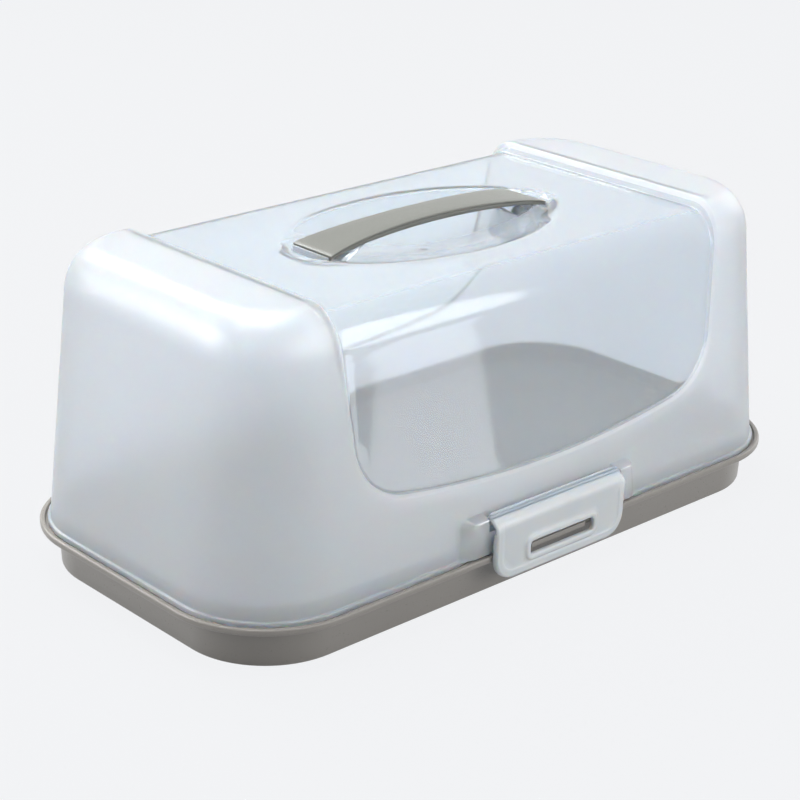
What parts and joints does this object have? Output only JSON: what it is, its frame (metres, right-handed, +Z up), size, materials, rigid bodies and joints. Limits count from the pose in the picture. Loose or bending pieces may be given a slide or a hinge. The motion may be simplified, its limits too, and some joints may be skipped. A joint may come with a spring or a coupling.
{
  "type": "cake carrier",
  "caption": "Loaf cake carrier: shallow tray, tall translucent hood hinged at the rear, swinging front latch and an arched carry handle in a roof recess.",
  "frame": {"origin": "centre of the footprint on the table", "axes": "+X along the length, front with the latch towards -Y, +Z up"},
  "size_m": [0.385, 0.211, 0.1643],
  "materials": {
    "tray_plastic": "fine satin moulded polypropylene, warm grey",
    "hood_plastic": "frosted translucent polypropylene with polished clear saddle and windows",
    "handle_plastic": "satin moulded polypropylene, light warm grey",
    "clip_plastic": "translucent moulded polypropylene",
    "pin_steel": "plain drawn rod"
  },
  "bodies": {
    "base": {"tray": "tray_plastic", "hinge_pin_left": "pin_steel", "hinge_pin_right": "pin_steel"},
    "lid": {"hood": "hood_plastic", "handle": "handle_plastic", "latch_pin": "pin_steel"},
    "latch": {"latch_clip": "clip_plastic"}
  },
  "joints": [
    {"name": "lid_hinge", "type": "hinge", "parent": "base", "child": "lid", "pos_m": [0, 0.1036, 0.0249], "axis": [-1, 0, 0], "range_deg": [0, 105]},
    {"name": "latch_swing", "type": "hinge", "parent": "lid", "child": "latch", "pos_m": [0, -0.0972, 0.0416], "axis": [-1, 0, 0], "range_deg": [0, 115]}
  ]
}
